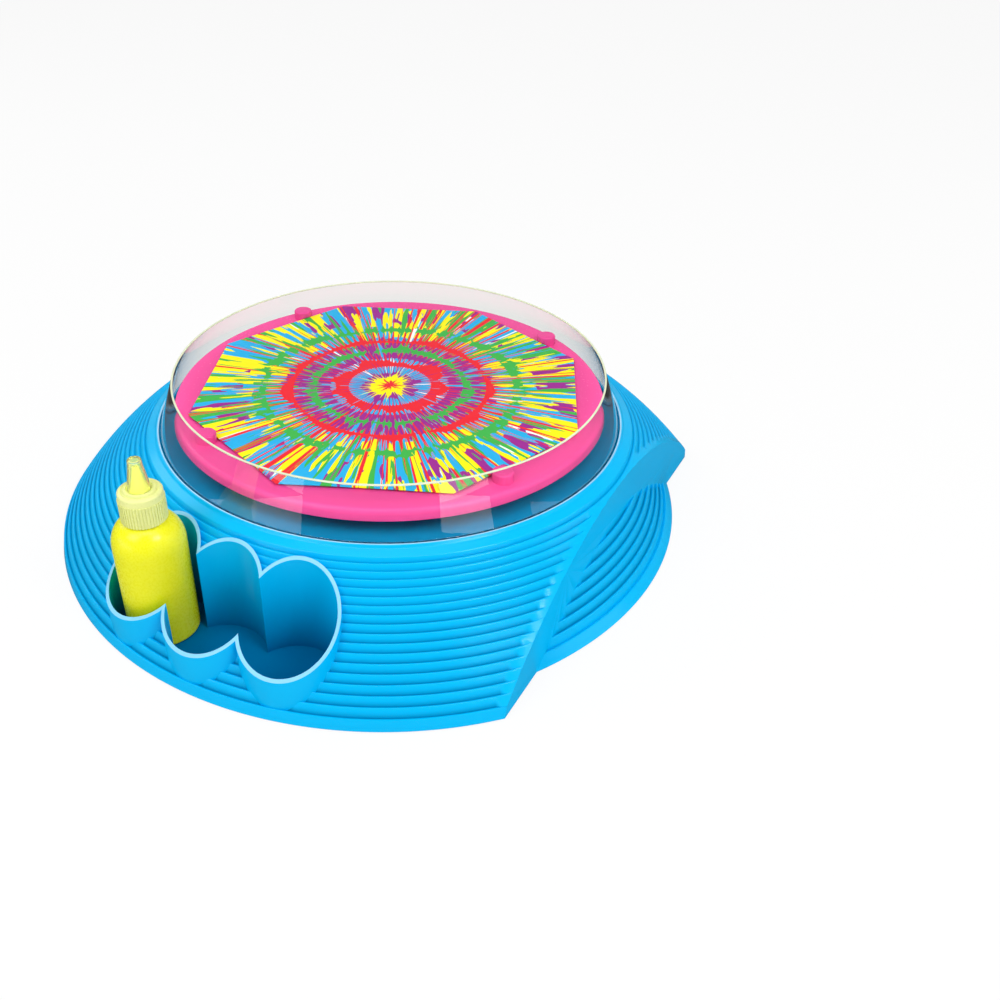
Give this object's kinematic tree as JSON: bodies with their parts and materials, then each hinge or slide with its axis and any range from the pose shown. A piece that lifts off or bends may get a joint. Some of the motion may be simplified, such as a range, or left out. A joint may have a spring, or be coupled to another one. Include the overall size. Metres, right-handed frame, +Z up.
{
  "type": "spin art machine",
  "caption": "Tabletop spin art machine: ribbed moulded base with a bottle caddy, motor driven turntable with card clips, clear splash guard and a paint bottle.",
  "frame": {"origin": "turntable axis at the level of the feet", "axes": "+Z up along the turntable's axis, -Y the front with the bottle caddy, +X right"},
  "size_m": [0.293, 0.2968, 0.0793],
  "materials": {
    "blue_abs": "injection moulded, glossy",
    "pink_abs": "injection moulded, satin gloss",
    "clear_ps": "clear styrene, polished",
    "card_stock": "coated card with spin painted colours",
    "yellow_ldpe": "squeeze bottle, satin",
    "yellow_paint": "liquid paint",
    "natural_pp": "translucent cap",
    "clear_pp": "clear overcap",
    "black_rubber": "soft, matt",
    "zinc_steel": "zinc plated",
    "bright_steel": "ground bar",
    "motor_steel": "drawn can",
    "white_nylon": "moulded nylon",
    "pom_white": "moulded acetal",
    "brass": "turned",
    "bronze": "sintered bush",
    "spring_steel": "nickel plated strip",
    "cell_jacket": "printed sleeve, plain",
    "black_plastic": "moulded, fine texture"
  },
  "bodies": {
    "base": {"housing_shell": "blue_abs", "bottle_caddy": "blue_abs", "base_plate": "blue_abs", "rubber_feet": "black_rubber", "case_screws": "zinc_steel", "caddy_screws": "zinc_steel", "batteries": "cell_jacket", "battery_contacts": "spring_steel", "motor_can": "motor_steel", "motor_end_cap": "white_nylon", "motor_bracket": "black_plastic", "bracket_screws": "zinc_steel", "upper_bearing": "bronze", "lower_bearing": "bronze", "switch_plate": "blue_abs", "switch_body": "black_plastic", "switch_screws": "zinc_steel"},
    "turntable": {"turntable_disc": "pink_abs", "card_pegs": "pink_abs", "art_card": "card_stock", "spindle_shaft": "bright_steel", "drive_gear": "pom_white", "thrust_washer": "white_nylon"},
    "motor_rotor": {"motor_shaft": "bright_steel", "motor_pinion": "brass"},
    "splash_guard": {"splash_guard": "clear_ps"},
    "paint_bottle": {"bottle_body": "yellow_ldpe", "paint_fill": "yellow_paint"},
    "bottle_cap": {"bottle_cap": "natural_pp"},
    "nozzle_cap": {"nozzle_cap": "clear_pp"},
    "battery_door": {"battery_door": "blue_abs", "door_screws": "zinc_steel"},
    "switch_knob": {"switch_knob": "pink_abs"}
  },
  "joints": [
    {"name": "turntable_spin", "type": "hinge", "parent": "base", "child": "turntable", "pos_m": [0, 0, 0.05], "axis": [0, 0, 1], "continuous": true},
    {"name": "motor_spin", "type": "hinge", "parent": "base", "child": "motor_rotor", "pos_m": [-0.02631, -0.00958, 0.035], "axis": [0, 0, 1], "continuous": true},
    {"name": "guard_lift", "type": "slide", "parent": "base", "child": "splash_guard", "axis": [0, 0, 1], "range_m": [0, 0.06]},
    {"name": "bottle_lift", "type": "slide", "parent": "base", "child": "paint_bottle", "axis": [0, 0, 1], "range_m": [0, 0.06]},
    {"name": "cap_turn", "type": "hinge", "parent": "paint_bottle", "child": "bottle_cap", "pos_m": [-0.08756, -0.09268, 0.058], "axis": [0, 0, 1], "range_deg": [0, 540]},
    {"name": "nozzle_cap_pull", "type": "slide", "parent": "bottle_cap", "child": "nozzle_cap", "axis": [0, 0, 1], "range_m": [0, 0.03]},
    {"name": "door_removal", "type": "slide", "parent": "base", "child": "battery_door", "axis": [0, 0, -1], "range_m": [0, 0.03]},
    {"name": "power_switch", "type": "slide", "parent": "base", "child": "switch_knob", "axis": [1, 0, 0], "range_m": [0, 0.006]}
  ],
  "couplings": [
    {"joint": "motor_spin", "follows": "turntable_spin", "ratio": -6}
  ]
}
